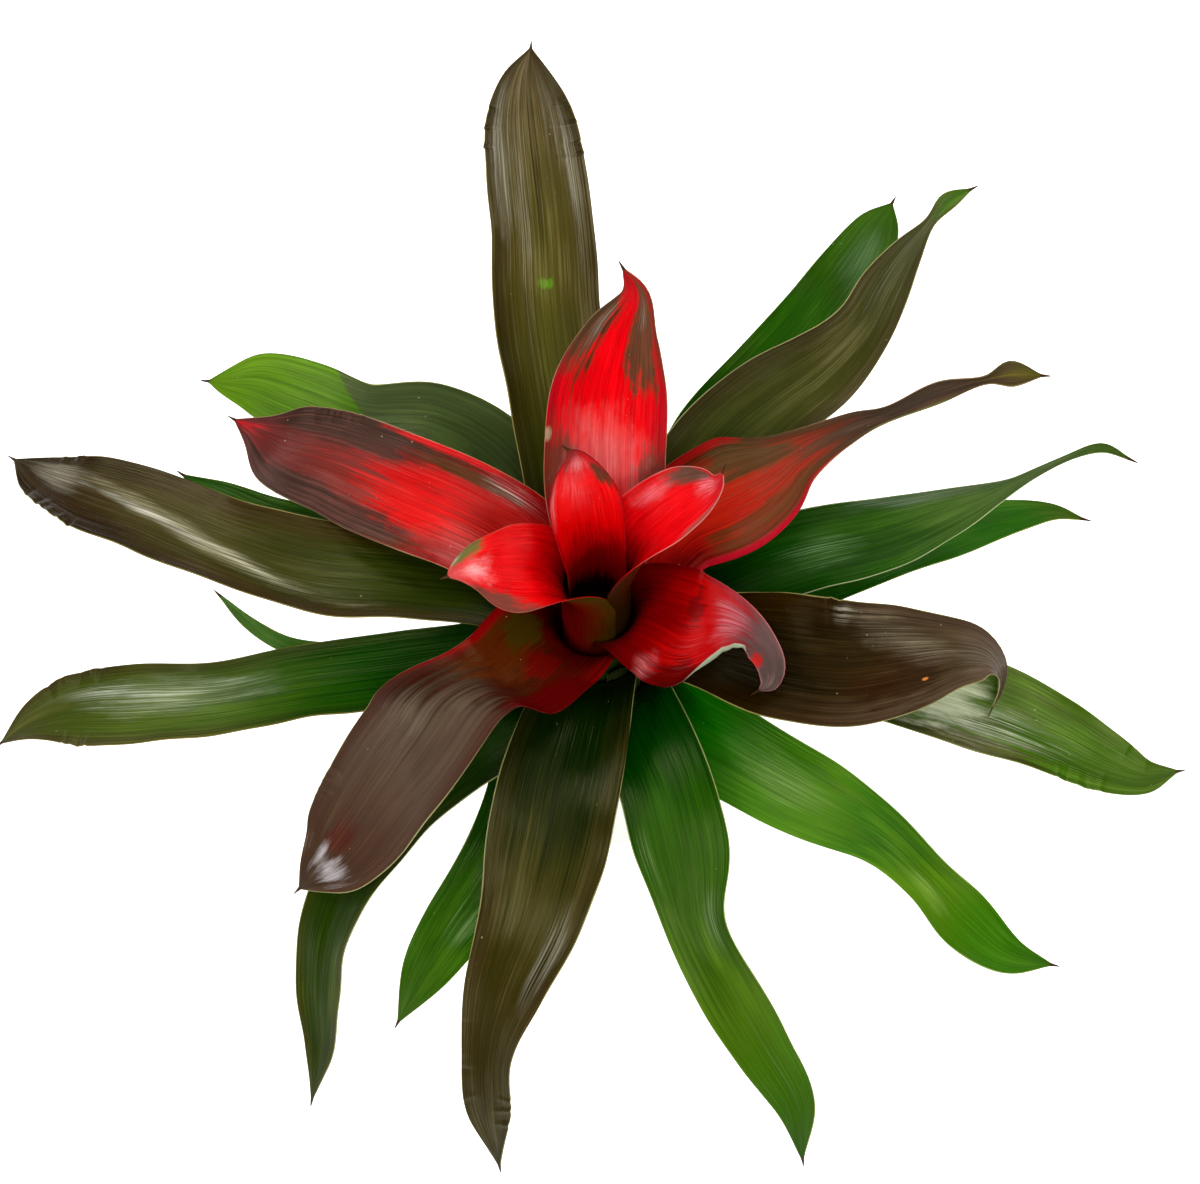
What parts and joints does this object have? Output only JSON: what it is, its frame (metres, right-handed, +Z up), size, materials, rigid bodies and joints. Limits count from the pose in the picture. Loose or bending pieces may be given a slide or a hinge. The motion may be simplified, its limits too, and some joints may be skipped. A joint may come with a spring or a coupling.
{
  "type": "neoregelia bromeliad",
  "caption": "Neoregelia bromeliad: an open rosette of long strap leaves round a red central cup, growing in a plain round pot.",
  "frame": {"origin": "centre of the pot's flat base, on the surface it stands on", "axes": "+Z up along the pot's axis, -Y towards the front of the plant, +X to its right"},
  "size_m": [0.5208, 0.4766, 0.2776],
  "materials": {
    "pot": "smooth white moulded pot, softly satin",
    "potting_mix": "loose dark bark and peat crumb",
    "stem": "dull fibrous stem",
    "leaf_red": "glossy waxed leaf, saturated red",
    "leaf_crimson": "glossy waxed leaf, red with dark margins",
    "leaf_red_bronze": "waxed leaf, red at the base and bronze at the margins",
    "leaf_bronze": "waxed leaf, bronze over olive, fine long veins",
    "leaf_dark_green": "waxed leaf, dark green, fine long veins",
    "leaf_green": "waxed leaf, fresh green, fine long veins"
  },
  "bodies": {
    "root": {"pot": "pot", "potting_mix": "potting_mix", "stem": "stem", "leaf_cup_back": "leaf_red", "leaf_cup_right": "leaf_red", "leaf_cup_left": "leaf_red", "leaf_mid_right_front": "leaf_crimson", "leaf_mid_back": "leaf_crimson", "leaf_mid_left_front": "leaf_red_bronze", "leaf_mid_right_back": "leaf_red_bronze", "leaf_mid_left_back": "leaf_red_bronze", "leaf_outer_right": "leaf_bronze", "leaf_outer_left": "leaf_bronze", "leaf_outer_back": "leaf_bronze", "leaf_outer_front": "leaf_bronze", "leaf_outer_right_back": "leaf_bronze", "leaf_green_left": "leaf_dark_green", "leaf_green_right_twist": "leaf_dark_green", "leaf_green_left_sliver": "leaf_dark_green", "leaf_green_right_far": "leaf_dark_green", "leaf_green_front_left": "leaf_green", "leaf_green_front_right": "leaf_green", "leaf_green_left_back": "leaf_green", "leaf_green_right_front": "leaf_green", "leaf_green_left_curl": "leaf_green", "leaf_green_right_back": "leaf_green", "leaf_green_front_small": "leaf_green", "leaf_green_right_low": "leaf_green"}
  },
  "joints": []
}
